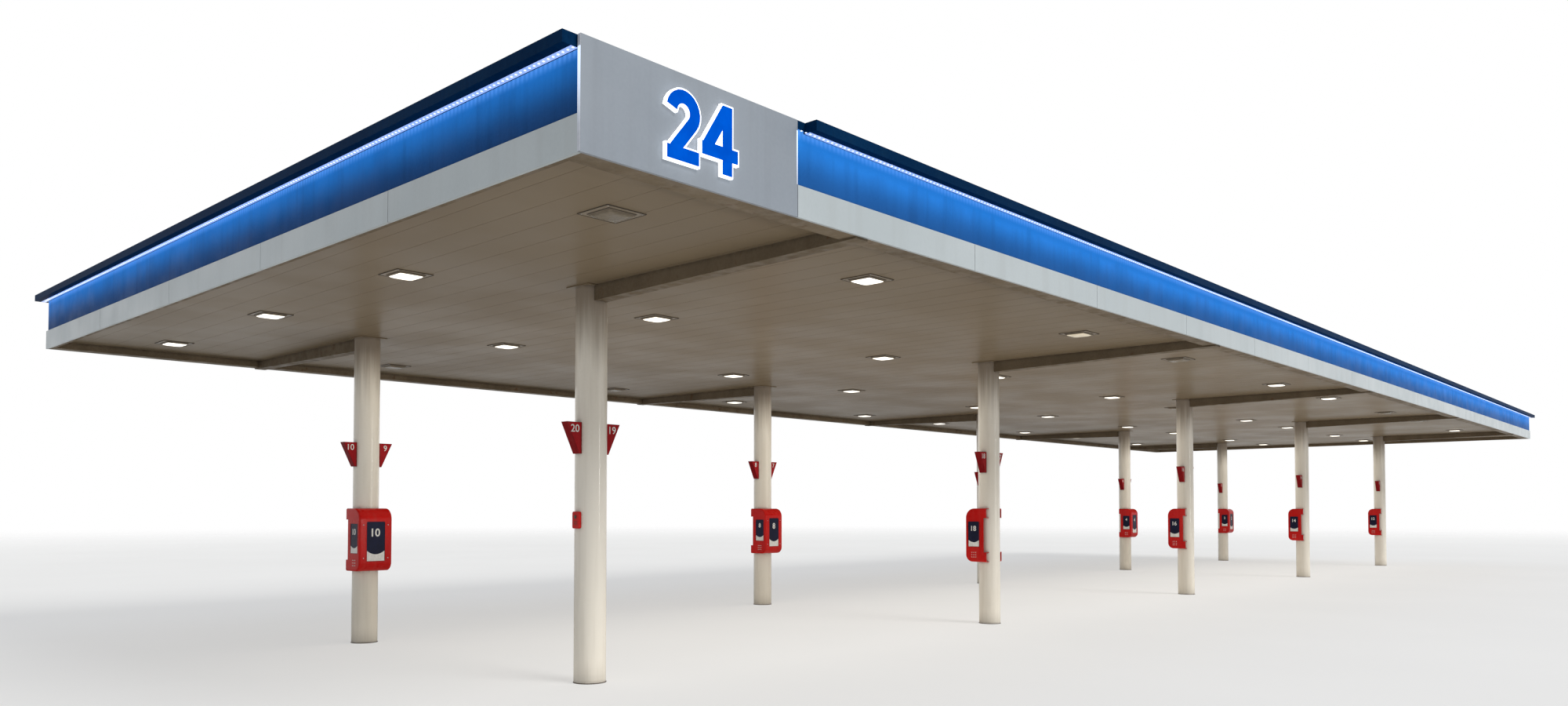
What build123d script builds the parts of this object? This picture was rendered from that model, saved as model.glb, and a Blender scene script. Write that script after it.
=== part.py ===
import os
from math import sqrt

from build123d import *

# Filling station canopy, modelled at half its real size: every length here is half the real one.
# X runs along the canopy, Y across it, Z up from the ground. The sign end is at -X, the front at -Y.

# Overall size
canopy_length = 22560
canopy_width = 7460
clear_height = 2457
white_band_height = 152
blue_panel_height = 305
soffit_rise = 57

# Columns and frames
frame_count = 5
end_overhang = 1750
side_overhang = 2219
column_diameter = 203
column_wall = 6.5
cap_size = 240
cap_thickness = 8

# Steelwork above the deck
beam_depth = 200
beam_flange_width = 100
beam_flange = 8
beam_web = 6
purlin_depth = 150
purlin_width = 60
purlin_flange = 6
purlin_web = 4
purlin_lines = 6
purlin_line_spacing = 1180
cleat_height = 90

# Deck of standing-seam pans
deck_sections = 5
pans_per_section = 22
pan_sheet = 3
seam_height = 38
seam_groove = 3
deck_end_lap = 100
deck_side_lap = 30
column_hole_clearance = 4

# Fascia
tray_depth = 16
tray_sheet = 3
band_panel_length = 1475
band_joint = 3
blue_sheet = 4
sign_length = 1245
frame_rail = 25
frame_joint = 2
post_spacing = 1500

# Cornice bar and its strip light
cornice_projection = 70
cornice_height = 50
cornice_wall = 3
cornice_sign_gap = 55
cornice_corner_gap = 22
strip_width = 34
strip_wall_gap = 5
strip_thickness = 5
bracket_height = 36
bracket_thickness = 10

# Gutters round the deck and the sloping drain troughs to the columns
gutter_width = 109
end_gutter_width = 24
gutter_sheet = 3
gutter_back_height = 80
gutter_joint = 2
trough_width = 95
trough_sheet = 3
trough_face_inset = 20
trough_drop_at_fascia = 10
trough_drop_at_column = 44

# Collar plate where a column meets the deck
collar_size = 228
collar_thickness = 6

# Soffit lights
light_frame_offset = 995
light_row_spacing = 1980
light_rows = 4
light_flange_size = 230
light_flange = 3
light_body_size = 164
light_depth = 10
light_chamfer = 4
lens_size = 150
lens_depth = 3

# Number flags on the columns
flag_bottom = 1445
flag_height = 198
flag_reach_top = 106
flag_reach_bottom = 14
flag_thickness = 64

# Poster units that wrap the inner side of the columns
unit_bottom = 590
unit_height = 512
unit_width = 280
unit_front = 180
unit_back = 20
unit_hood_back = 50
unit_hood_height = 92
unit_top_radius = 90
unit_foot_radius = 70
unit_wall = 4
unit_edge_fillet = 14
poster_recess = 2
poster_corner = 14
front_poster_width = 164
front_poster_height = 330
front_poster_middle = 832
side_poster_width = 132
side_poster_height = 250
side_poster_middle = 856
side_poster_offset = 88

# Small call box on the first near column
box_bottom = 973
box_height = 107
box_width = 64
box_reach = 22
box_fillet = 12

# Places worked out from the sizes above
fascia_height = white_band_height + blue_panel_height
fascia_top = clear_height + fascia_height
band_top = clear_height + white_band_height
soffit = clear_height + soffit_rise
deck_top = soffit + seam_height
beam_bottom = deck_top + cap_thickness
column_radius = column_diameter / 2
blue_face = tray_depth - blue_sheet
half_length = canopy_length / 2
half_width = canopy_width / 2
pan_pitch = (canopy_length - 2 * deck_side_lap) / (deck_sections * pans_per_section)
frame_spacing = (canopy_length - 2 * end_overhang) / (frame_count - 1)
row_spacing = canopy_width - 2 * side_overhang
frame_places = [frame_spacing * (k - (frame_count - 1) / 2) for k in range(frame_count)]
near_row = -row_spacing / 2
far_row = row_spacing / 2
sides = ("front", "right", "back", "left")
side_length = {"front": canopy_length, "right": canopy_width, "back": canopy_length, "left": canopy_width}

os.makedirs("parts", exist_ok=True)


def save(part, name):
    part.label = name
    export_step(part, "parts/" + name + ".step")


# The sides are walked front, right, back, left: the corner each one starts from and its way along
side_corner = {
    "front": (-half_length, -half_width),
    "right": (half_length, -half_width),
    "back": (half_length, half_width),
    "left": (-half_length, half_width),
}
side_way = {"front": (1, 0), "right": (0, 1), "back": (-1, 0), "left": (0, -1)}


def side_plane(side, along):
    """Plane across one side of the canopy: local x points inwards from the face, local y up."""
    corner = side_corner[side]
    way = side_way[side]
    origin = (corner[0] + way[0] * along, corner[1] + way[1] * along, 0)
    return Plane(origin=origin, x_dir=(-way[1], way[0], 0), z_dir=(way[0], way[1], 0))


def face_plane(side, depth):
    """Plane a given depth behind one side's outer face: local x runs along the side, local y up."""
    corner = side_corner[side]
    way = side_way[side]
    origin = (corner[0] - way[1] * depth, corner[1] + way[0] * depth, 0)
    return Plane(origin=origin, x_dir=(way[0], way[1], 0), z_dir=(way[1], -way[0], 0))


def rectangle_between(x_low, y_low, x_high, y_high, mode=Mode.ADD):
    with Locations((x_low, y_low)):
        Rectangle(x_high - x_low, y_high - y_low, align=(Align.MIN, Align.MIN), mode=mode)


def i_section(width, depth, flange, web):
    """I-section standing on the sketch plane's local x axis."""
    rectangle_between(-width / 2, 0, width / 2, flange)
    rectangle_between(-width / 2, depth - flange, width / 2, depth)
    rectangle_between(-web / 2, flange, web / 2, depth - flange)


# Columns

def make_column(x, y):
    """Round tube from the ground through the deck, with a cap plate under the main beam."""
    with BuildPart() as column:
        with BuildSketch(Plane.XY):
            with Locations((x, y)):
                Circle(column_radius)
                Circle(column_radius - column_wall, mode=Mode.SUBTRACT)
        extrude(amount=deck_top)
        with BuildSketch(Plane.XY.offset(deck_top)):
            with Locations((x, y)):
                Rectangle(cap_size, cap_size)
        extrude(amount=cap_thickness)
    return column.part


for number, x in enumerate(frame_places, 1):
    save(make_column(x, near_row), f"column_near_{number}")
    save(make_column(x, far_row), f"column_far_{number}")


# Collars: a square plate under the deck round each column, slotted for the drain trough

with BuildPart() as column_collars:
    with BuildSketch(Plane.XY.offset(soffit - collar_thickness)):
        for x in frame_places:
            for row, outward in ((near_row, -1), (far_row, 1)):
                with Locations((x, row)):
                    Rectangle(collar_size, collar_size)
                    Circle(column_radius, mode=Mode.SUBTRACT)
                with Locations((x, row + outward * collar_size / 2)):
                    Rectangle(trough_width, collar_size, mode=Mode.SUBTRACT)
    extrude(amount=collar_thickness)

save(column_collars.part, "column_collars")


# Main beams across the canopy, one on each pair of columns

beam_end = half_width - tray_depth - frame_rail

for number, x in enumerate(frame_places, 1):
    with BuildPart() as main_beam:
        with BuildSketch(Plane(origin=(x, beam_end, beam_bottom), x_dir=(1, 0, 0), z_dir=(0, -1, 0))):
            i_section(beam_flange_width, beam_depth, beam_flange, beam_web)
        extrude(amount=2 * beam_end)
    save(main_beam.part, f"main_beam_{number}")


# Purlins between the main beams, seated on the deck's seams

purlin_end = half_length - tray_depth - frame_rail
line_places = [purlin_line_spacing * (k - (purlin_lines - 1) / 2) for k in range(purlin_lines)]
outer_bay = purlin_end - frame_places[-1]
inner_starts = [(x, 1) for x in frame_places[:-1]]
outer_starts = [(-purlin_end, 0), (frame_places[-1], 1)]
beam_gap = beam_flange_width / 2
cleat_middle = beam_bottom + beam_depth / 2 - deck_top


def cross_plane(x):
    """Plane across the canopy at x: local x points to the back, local y up from the deck's seams."""
    return Plane(origin=(x, 0, deck_top), x_dir=(0, 1, 0), z_dir=(1, 0, 0))


def make_purlins(lines):
    """Straight I-section lengths whose webs run on as tongues to the main beams' webs.

    A start comes with 1 where the length begins at a beam, or 0 where it begins at the fascia frame.
    """
    with BuildPart() as purlins:
        for starts, length in ((inner_starts, frame_spacing), (outer_starts, outer_bay)):
            flange_cut = 2 * beam_gap if length == frame_spacing else beam_gap
            with BuildSketch(*[cross_plane(start + cut * beam_gap) for start, cut in starts]):
                with Locations(*[(y, 0) for y in lines]):
                    i_section(purlin_width, purlin_depth, purlin_flange, purlin_web)
            extrude(amount=length - flange_cut)
            web_cut = beam_web if length == frame_spacing else beam_web / 2
            with BuildSketch(*[cross_plane(start + cut * beam_web / 2) for start, cut in starts]):
                with Locations(*[(y, cleat_middle) for y in lines]):
                    Rectangle(purlin_web, cleat_height)
            extrude(amount=length - web_cut)
    return purlins.part


save(make_purlins(line_places[:purlin_lines // 2]), "purlins_near")
save(make_purlins(line_places[purlin_lines // 2:]), "purlins_far")


# Deck: pans folded up into standing seams, with a narrow groove between pans on the underside

deck_half = half_width - deck_end_lap
section_length = pans_per_section * pan_pitch
groove_half = seam_groove / 2
seam_half = groove_half + pan_sheet



def deck_outline(start, end):
    """Section of one deck unit across its seams, with half a seam at each end."""
    seams = [start + pan_pitch * k for k in range(1, pans_per_section)]
    seam_inside = seam_height - pan_sheet
    top = [(start, seam_height), (start + seam_half, seam_height), (start + seam_half, pan_sheet)]
    for seam in seams:
        top += [(seam - seam_half, pan_sheet), (seam - seam_half, seam_height),
                (seam + seam_half, seam_height), (seam + seam_half, pan_sheet)]
    top += [(end - seam_half, pan_sheet), (end - seam_half, seam_height), (end, seam_height)]
    underside = [(start, seam_inside), (start + groove_half, seam_inside), (start + groove_half, 0)]
    for seam in seams:
        underside += [(seam - groove_half, 0), (seam - groove_half, seam_inside),
                      (seam + groove_half, seam_inside), (seam + groove_half, 0)]
    underside += [(end - groove_half, 0), (end - groove_half, seam_inside), (end, seam_inside)]
    return top + underside[::-1]


for number in range(1, deck_sections + 1):
    section_start = -half_length + deck_side_lap + (number - 1) * section_length
    section_end = section_start + section_length
    with BuildPart() as deck_section:
        with BuildSketch(Plane(origin=(0, deck_half, soffit), x_dir=(1, 0, 0), z_dir=(0, -1, 0))):
            with BuildLine():
                Polyline(*deck_outline(section_start, section_end), close=True)
            make_face()
        extrude(amount=2 * deck_half)
        with BuildSketch(Plane.XY.offset(soffit)):
            hole_places = [(x, y) for x in frame_places if section_start < x < section_end
                           for y in (near_row, far_row)]
            with Locations(*hole_places):
                Circle(column_radius + column_hole_clearance)
        extrude(amount=seam_height, mode=Mode.SUBTRACT)
    save(deck_section.part, f"deck_section_{number}")


# Gutters: an open channel along the four sides under the deck's edges, the end ones between the long ones

with BuildPart() as gutters:
    for side in sides:
        long_side = side in ("front", "back")
        width = gutter_width if long_side else end_gutter_width
        start = tray_depth if long_side else tray_depth + gutter_width + gutter_joint
        with BuildSketch(side_plane(side, start)):
            rectangle_between(tray_depth, clear_height, tray_depth + width, clear_height + gutter_sheet)
            rectangle_between(tray_depth, clear_height, tray_depth + gutter_sheet,
                              clear_height + gutter_back_height)
            rectangle_between(tray_depth + width - gutter_sheet, clear_height, tray_depth + width, soffit)
        extrude(amount=side_length[side] - 2 * start)

save(gutters.part, "gutters")


# Drain troughs: folded channels that fall from the long gutters to the columns

trough_end = half_width - trough_face_inset
gutter_edge = half_width - tray_depth - gutter_width
column_side = row_spacing / 2
trough_foot_at_fascia = clear_height - trough_drop_at_fascia
trough_foot_at_column = clear_height - trough_drop_at_column


def trough_outline(inset):
    """Side view of a trough in the plane of Y and Z, drawn inset from its outer faces."""
    return [
        (trough_end - inset, trough_foot_at_fascia + inset),
        (trough_end - inset, clear_height),
        (gutter_edge - inset, clear_height),
        (gutter_edge - inset, soffit),
        (column_side, soffit),
        (column_side, trough_foot_at_column + inset),
    ]


with BuildPart() as drain_troughs:
    for x in frame_places:
        with BuildSketch(Plane.YZ.offset(x - trough_width / 2)):
            with BuildLine():
                Polyline(*trough_outline(0), close=True)
            make_face()
        extrude(amount=trough_width)
        with BuildSketch(Plane.YZ.offset(x - trough_width / 2 + trough_sheet)):
            with BuildLine():
                Polyline(*trough_outline(trough_sheet), close=True)
            make_face()
        extrude(amount=trough_width - 2 * trough_sheet, mode=Mode.SUBTRACT)
    with BuildSketch(Plane.XY):
        with Locations(*[(x, column_side) for x in frame_places]):
            Circle(column_radius)
    extrude(amount=soffit, mode=Mode.SUBTRACT)
    mirror(about=Plane.XZ)

save(drain_troughs.part, "drain_troughs")


# Fascia frames: two rails and posts behind each side's blue panel, the end ones between the long ones

long_frame_length = canopy_length - 2 * tray_depth
end_frame_length = canopy_width - 2 * (tray_depth + frame_rail + frame_joint)
long_frame_y = half_width - tray_depth - frame_rail / 2
end_frame_x = half_length - tray_depth - frame_rail / 2


def post_line(run):
    """Post middles along one frame, measured from the frame's middle."""
    gaps = round(run / post_spacing)
    return [(k / gaps - 0.5) * (run - frame_rail) for k in range(gaps + 1)]


post_places = [(x, way * long_frame_y) for x in post_line(long_frame_length) for way in (-1, 1)]
post_places += [(way * end_frame_x, y) for y in post_line(end_frame_length) for way in (-1, 1)]

with BuildPart() as fascia_frames:
    with BuildSketch(Plane.XY.offset(deck_top), Plane.XY.offset(fascia_top - frame_rail)):
        with Locations((0, -long_frame_y), (0, long_frame_y)):
            Rectangle(long_frame_length, frame_rail)
        with Locations((-end_frame_x, 0), (end_frame_x, 0)):
            Rectangle(frame_rail, end_frame_length)
    extrude(amount=frame_rail)
    with BuildSketch(Plane.XY.offset(deck_top + frame_rail)):
        with Locations(*post_places):
            Rectangle(frame_rail, frame_rail)
    extrude(amount=fascia_top - deck_top - 2 * frame_rail)

save(fascia_frames.part, "fascia_frames")


# White band: folded trays, open at the back, with a narrow joint between one panel and the next

def make_trays(side, starts, length, high):
    """Trays of one length along a side, from the fascia's underside up to high."""
    with BuildPart() as trays:
        with BuildSketch(face_plane(side, 0)):
            for start in starts:
                rectangle_between(start, clear_height, start + length, high)
        extrude(amount=-tray_depth)
        with BuildSketch(face_plane(side, tray_sheet)):
            for start in starts:
                rectangle_between(start + tray_sheet, clear_height + tray_sheet,
                                  start + length - tray_sheet, high - tray_sheet)
        extrude(amount=tray_sheet - tray_depth, mode=Mode.SUBTRACT)
    return trays.part


def panel_run(side):
    """Where the fascia's panels start and end on a side: the ends fit between the long sides."""
    if side == "front":
        return sign_length, canopy_length
    if side == "back":
        return 0, canopy_length
    return tray_depth, canopy_width - tray_depth


for side in sides:
    start, end = panel_run(side)
    start += band_joint if side == "front" else 0
    panel_count = round((end - start) / band_panel_length)
    panel_step = (end - start + band_joint) / panel_count
    starts = [start + k * panel_step for k in range(panel_count)]
    save(make_trays(side, starts, panel_step - band_joint, band_top), "white_band_" + side)


# Blue panels, set back behind the band's face and standing on its ledge

for side in sides:
    start, end = panel_run(side)
    start = max(start, blue_face)
    end = min(end, side_length[side] - blue_face)
    with BuildPart() as blue_panel:
        with BuildSketch(side_plane(side, start)):
            rectangle_between(blue_face, band_top, tray_depth, fascia_top)
        extrude(amount=end - start)
    save(blue_panel.part, "blue_panel_" + side)


# Sign panel: one full-height tray at the front's -X end

save(make_trays("front", [0], sign_length, fascia_top), "sign_panel")


# Cornice: a square bar along the top, slotted underneath for the strip light

slot_inner = blue_face - strip_wall_gap
slot_outer = slot_inner - strip_width
cornice_bottom = fascia_top - cornice_height
end_bar_start = -cornice_projection


def cornice_run(side):
    """Where the bar on a side starts and ends. The end bars pass the corners, the long ones butt."""
    if side == "front":
        return sign_length + cornice_sign_gap, canopy_length - blue_face
    if side == "back":
        return blue_face, canopy_length - blue_face
    if side == "left":
        return end_bar_start, canopy_width - cornice_corner_gap
    return end_bar_start, canopy_width + cornice_projection


for side in sides:
    start, end = cornice_run(side)
    with BuildPart() as cornice:
        with BuildSketch(side_plane(side, start)):
            rectangle_between(-cornice_projection, cornice_bottom, blue_face, fascia_top)
            rectangle_between(-cornice_projection + cornice_wall, cornice_bottom + cornice_wall,
                              blue_face - cornice_wall, fascia_top - cornice_wall, mode=Mode.SUBTRACT)
        extrude(amount=end - start)
        for cap_start in (start, end - cornice_wall):
            with BuildSketch(side_plane(side, cap_start)):
                rectangle_between(-cornice_projection, cornice_bottom, blue_face, fascia_top)
            extrude(amount=cornice_wall)
        with BuildSketch(side_plane(side, start + cornice_wall)):
            rectangle_between(slot_outer, cornice_bottom, slot_inner, cornice_bottom + cornice_wall)
        extrude(amount=end - start - 2 * cornice_wall, mode=Mode.SUBTRACT)
        if side in ("front", "left"):
            gap = cornice_sign_gap if side == "front" else cornice_corner_gap - tray_depth
            bracket_start = start - gap if side == "front" else end
            with BuildSketch(side_plane(side, bracket_start)):
                rectangle_between(blue_face - bracket_thickness, fascia_top - bracket_height,
                                  blue_face, fascia_top)
            extrude(amount=gap)
    save(cornice.part, "cornice_" + side)

with BuildPart() as light_strips:
    for side in sides:
        start, end = cornice_run(side)
        with BuildSketch(side_plane(side, start + cornice_wall)):
            rectangle_between(slot_outer, cornice_bottom, slot_inner, cornice_bottom + strip_thickness)
        extrude(amount=end - start - 2 * cornice_wall)

save(light_strips.part, "light_strips")


# Soffit lights: a shallow square housing under the deck with a lens below it

row_places = [light_row_spacing * (k - (light_rows - 1) / 2) for k in range(light_rows)]
light_places = [(x + offset, y) for x in frame_places for offset in (-light_frame_offset, light_frame_offset)
                for y in row_places]

with BuildPart() as light_housings:
    with BuildSketch(Plane.XY.offset(soffit)):
        with Locations(*light_places):
            Rectangle(light_flange_size, light_flange_size)
    extrude(amount=-light_flange)
    with BuildSketch(Plane.XY.offset(soffit)):
        with Locations(*light_places):
            Rectangle(light_body_size, light_body_size)
    extrude(amount=-light_depth)
    chamfer(light_housings.faces().filter_by(Axis.Z).group_by(Axis.Z)[0].edges(), light_chamfer)

save(light_housings.part, "light_housings")

with BuildPart() as light_lenses:
    with BuildSketch(Plane.XY.offset(soffit - light_depth)):
        with Locations(*light_places):
            Rectangle(lens_size, lens_size)
    extrude(amount=-lens_depth, taper=45)

save(light_lenses.part, "light_lenses")


# Number flags: two tapering boxes on each column, pointing along the canopy

with BuildPart() as flag_pair:
    with BuildSketch(Plane.XZ.offset(-flag_thickness / 2)):
        with BuildLine():
            Polyline(
                (0, flag_bottom),
                (column_radius + flag_reach_bottom, flag_bottom),
                (column_radius + flag_reach_top, flag_bottom + flag_height),
                (0, flag_bottom + flag_height),
                close=True,
            )
        make_face()
        mirror(about=Plane.YZ)
    extrude(amount=flag_thickness)
    with BuildSketch(Plane.XY.offset(flag_bottom)):
        Circle(column_radius)
    extrude(amount=flag_height, mode=Mode.SUBTRACT)

with BuildPart() as number_flags:
    with Locations(*[(x, row) for row in (near_row, far_row) for x in frame_places]):
        add(flag_pair.part, clean=False)

save(number_flags.part, "number_flags")


# Poster units: moulded housings with a curved hood and foot, clasped round the columns' inner side

unit_top = unit_bottom + unit_height


def unit_profile(inset):
    """Side view of a unit: local x points away from the column's axis, local y up."""
    front = unit_front - inset
    low = unit_bottom + inset
    high = unit_top - inset
    top_radius = unit_top_radius - inset
    foot_radius = unit_foot_radius - inset
    waist_low = unit_bottom + unit_hood_height - inset
    waist_high = unit_top - unit_hood_height + inset
    with BuildLine() as outline:
        Line((-unit_hood_back, low), (front - foot_radius, low))
        CenterArc((front - foot_radius, low + foot_radius), foot_radius, 270, 90)
        Line((front, low + foot_radius), (front, high - top_radius))
        CenterArc((front - top_radius, high - top_radius), top_radius, 0, 90)
        Line((front - top_radius, high), (-unit_hood_back, high))
        Polyline((-unit_hood_back, high), (-unit_hood_back, waist_high), (-unit_back, waist_high),
                 (-unit_back, waist_low), (-unit_hood_back, waist_low), (-unit_hood_back, low))
    return outline.edges()


def unit_form(inset):
    """Solid form of a unit at a column at the origin, with its moulded front toward +Y."""
    with BuildPart() as form:
        with BuildSketch(Plane.YZ.offset(inset - unit_width / 2)):
            make_face(unit_profile(inset))
        extrude(amount=unit_width - 2 * inset)
        side_edges = form.faces().filter_by(Axis.X).edges()
        fillet(side_edges.filter_by(lambda edge: edge.center().Y > 0), unit_edge_fillet - inset)
    return form.part


with BuildPart() as poster_unit:
    add(unit_form(0))
    add(unit_form(unit_wall), mode=Mode.SUBTRACT)
    with BuildSketch(Plane.XY.offset(unit_bottom)):
        Circle(column_radius)
    extrude(amount=unit_height, mode=Mode.SUBTRACT)
    with BuildSketch(Plane.XZ.offset(-unit_front)):
        with Locations((0, front_poster_middle)):
            RectangleRounded(front_poster_width, front_poster_height, poster_corner)
    extrude(amount=poster_recess, mode=Mode.SUBTRACT)
    with BuildSketch(Plane.YZ.offset(-unit_width / 2)):
        with Locations((side_poster_offset, side_poster_middle)):
            RectangleRounded(side_poster_width, side_poster_height, poster_corner)
    extrude(amount=poster_recess, mode=Mode.SUBTRACT)
    with BuildSketch(Plane.YZ.offset(unit_width / 2)):
        with Locations((side_poster_offset, side_poster_middle)):
            RectangleRounded(side_poster_width, side_poster_height, poster_corner)
    extrude(amount=-poster_recess, mode=Mode.SUBTRACT)

unit_places = [Location((x, near_row, 0)) for x in frame_places[1:]]
unit_places += [Location((x, far_row, 0), (0, 0, 180)) for x in frame_places]

with BuildPart() as poster_units:
    with Locations(*unit_places):
        add(poster_unit.part, clean=False)

save(poster_units.part, "poster_units")


# Call box on the near column at the sign end

box_surface = sqrt(column_radius ** 2 - (box_width / 2) ** 2)

with BuildPart() as call_box:
    with BuildSketch(Plane.YZ.offset(frame_places[0] - box_surface)):
        with Locations((near_row, box_bottom + box_height / 2)):
            RectangleRounded(box_width, box_height, box_fillet)
    extrude(amount=-box_reach)
    with BuildSketch(Plane.XY.offset(box_bottom)):
        with Locations((frame_places[0], near_row)):
            Circle(column_radius)
    extrude(amount=box_height, mode=Mode.SUBTRACT)

save(call_box.part, "call_box")
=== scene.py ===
# %% [markdown]
# A filling station canopy is a long flat roof on two rows of round columns. Its steel, deck,
# fascia and gutters are already built to size, so this lesson dresses that frame: it finishes
# every surface and adds the small things, such as lamps, light strips, numbers and fixings.

# %% Load the measured frame
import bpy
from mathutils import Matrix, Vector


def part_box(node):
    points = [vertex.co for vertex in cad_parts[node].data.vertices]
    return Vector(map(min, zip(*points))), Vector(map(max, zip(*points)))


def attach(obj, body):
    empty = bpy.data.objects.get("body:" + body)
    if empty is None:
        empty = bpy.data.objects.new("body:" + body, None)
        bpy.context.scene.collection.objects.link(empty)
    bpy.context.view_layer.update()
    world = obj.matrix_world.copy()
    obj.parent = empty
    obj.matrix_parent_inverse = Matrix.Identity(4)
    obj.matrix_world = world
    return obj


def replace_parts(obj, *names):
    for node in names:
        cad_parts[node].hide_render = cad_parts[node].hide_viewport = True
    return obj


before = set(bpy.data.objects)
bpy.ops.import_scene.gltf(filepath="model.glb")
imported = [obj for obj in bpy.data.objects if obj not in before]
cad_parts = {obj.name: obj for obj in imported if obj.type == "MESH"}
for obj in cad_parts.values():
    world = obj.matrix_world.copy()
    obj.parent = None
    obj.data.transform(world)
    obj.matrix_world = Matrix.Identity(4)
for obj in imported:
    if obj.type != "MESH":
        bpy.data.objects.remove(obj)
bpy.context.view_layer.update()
print("nodes in the frame:", len(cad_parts))

# %% Bring in the tools
import math

import bpy
import bmesh
from mathutils import Matrix, Vector

scene = bpy.context.scene

# %% [markdown]
# Everything that is added later has to sit on the real pieces. The places could be typed in
# again, but they would drift from the frame, so the heights, faces and column centres are read
# from its boxes.

# %% Read the main heights and faces
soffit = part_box("deck_section_1")[0].z
seam_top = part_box("deck_section_1")[1].z
fascia_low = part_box("white_band_front")[0].z
band_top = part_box("blue_panel_front")[0].z
fascia_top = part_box("blue_panel_front")[1].z
cornice_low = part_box("cornice_front")[0].z
half_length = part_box("white_band_right")[1].x
half_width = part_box("white_band_back")[1].y
sign_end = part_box("sign_panel")[1].x
sign_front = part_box("sign_panel")[0].y
print("soffit at", round(soffit, 3), "fascia", round(fascia_low, 3), "to", round(fascia_top, 3))

# %% Read the column centres
frame_count = 5


def node_middle(name):
    """Middle of a node's box in plan."""
    low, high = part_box(name)
    return (low.x + high.x) / 2, (low.y + high.y) / 2


near_columns = [node_middle(f"column_near_{k}") for k in range(1, frame_count + 1)]
far_columns = [node_middle(f"column_far_{k}") for k in range(1, frame_count + 1)]
first_x, first_y = near_columns[0]
foot_points = [v.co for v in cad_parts["column_near_1"].data.vertices if v.co.z < 0.01]
column_radius = max(math.hypot(p.x - first_x, p.y - first_y) for p in foot_points)
print("column radius", round(column_radius, 4))

# %% [markdown]
# The camera stands at eye height in front of the sign's corner. It could be tilted up to catch
# the roof, but that would lean the columns, so it stays nearly level and the lens is shifted up
# instead, as is usual for pictures of buildings.

# %% Camera
camera_data = bpy.data.cameras.new("corner_camera")
camera_data.lens = 24.571
camera_data.sensor_width = 36
camera_data.shift_y = 0.08
camera_data.clip_end = 500
camera = bpy.data.objects.new("corner_camera", camera_data)
eye = (-13.736, -7.028, 1.0945)
heading = 42.44
tilt = 1.643
camera.location = eye
camera.rotation_euler = (math.radians(90 + tilt), 0, math.radians(heading - 90))
scene.collection.objects.link(camera)
scene.camera = camera
print("camera set at", eye)

# %% [markdown]
# A shader is a small network of nodes. Clicking them together is slow to repeat, so a helper adds
# one node, sets its options and feeds its inputs, which keeps each finish down to a few readable
# lines.

# %% Helpers for nodes


def add_node(tree, kind, feeds=None, **options):
    """Add a node, set its options, then link or set the inputs named in feeds."""
    node = tree.nodes.new(kind)
    for option, value in options.items():
        setattr(node, option, value)
    for socket, value in (feeds or {}).items():
        if isinstance(value, bpy.types.NodeSocket):
            tree.links.new(value, node.inputs[socket])
        else:
            node.inputs[socket].default_value = value
    return node


def maths(tree, operation, first, second=0.0):
    """One step of arithmetic, as an output."""
    return add_node(tree, "ShaderNodeMath", {0: first, 1: second}, operation=operation).outputs[0]


def product(tree, first, second):
    """Two values multiplied."""
    return maths(tree, "MULTIPLY", first, second)


def opaque(colour):
    """A plain colour with its alpha added, or an output as it is."""
    return (*colour, 1) if isinstance(colour, tuple) else colour


def mix_colours(tree, mask, first, second):
    """The first colour where the mask is 0 and the second where it is 1."""
    feeds = {0: mask, 6: opaque(first), 7: opaque(second)}
    return add_node(tree, "ShaderNodeMix", feeds, data_type="RGBA").outputs[2]


def remap(tree, value, low, high, to_low=0.0, to_high=1.0):
    """Ease a value from one range to another."""
    feeds = {"Value": value, "From Min": low, "From Max": high, "To Min": to_low, "To Max": to_high}
    return add_node(tree, "ShaderNodeMapRange", feeds, interpolation_type="SMOOTHSTEP").outputs[0]


print("node helpers ready")

# %% Helpers for places and noise


def place(tree):
    """Position on the canopy, in metres."""
    return add_node(tree, "ShaderNodeTexCoord").outputs["Object"]


def split(tree, vector):
    """The X, Y and Z of a vector."""
    return add_node(tree, "ShaderNodeSeparateXYZ", {0: vector}).outputs


def vector_maths(tree, operation, first, second, output="Vector"):
    """One step of arithmetic on vectors, as an output."""
    feeds = {0: first, 1: second}
    return add_node(tree, "ShaderNodeVectorMath", feeds, operation=operation).outputs[output]


def noise(tree, scale, detail=3.0, stretch=(1, 1, 1)):
    """Noise of that scale per metre, squeezed along the axes by stretch."""
    drawn = vector_maths(tree, "MULTIPLY", place(tree), stretch)
    feeds = {"Vector": drawn, "Scale": scale, "Detail": detail}
    return add_node(tree, "ShaderNodeTexNoise", feeds).outputs[0]


def bump(tree, height, strength, distance):
    """The normal of a surface that rises by distance where the height is 1."""
    feeds = {"Height": height, "Strength": strength, "Distance": distance}
    return add_node(tree, "ShaderNodeBump", feeds).outputs[0]


def normal_of(tree):
    """The direction that the surface faces."""
    return add_node(tree, "ShaderNodeNewGeometry").outputs["Normal"]


print("place and noise helpers ready")

# %% Helpers for node groups


def new_group(name, inputs):
    """An empty shader group with number inputs, and the outputs of its first node."""
    tree = bpy.data.node_groups.new(name, "ShaderNodeTree")
    for label, value in inputs.items():
        socket = tree.interface.new_socket(label, in_out="INPUT", socket_type="NodeSocketFloat")
        socket.default_value = value
    return tree, tree.nodes.new("NodeGroupInput").outputs


def close_group(tree, label, value, kind="NodeSocketFloat"):
    """Give a group its one output and link the value to it."""
    tree.interface.new_socket(label, in_out="OUTPUT", socket_type=kind)
    tree.links.new(value, tree.nodes.new("NodeGroupOutput").inputs[0])
    print("group", tree.name)


print("group helpers ready")

# %% [markdown]
# Rain draws long soft streaks down any upright face. They could be painted, but no image is used
# here: a noise texture that is squeezed along Z gives streaks of any width, and a node group lets
# each paint ask for its own.

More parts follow.
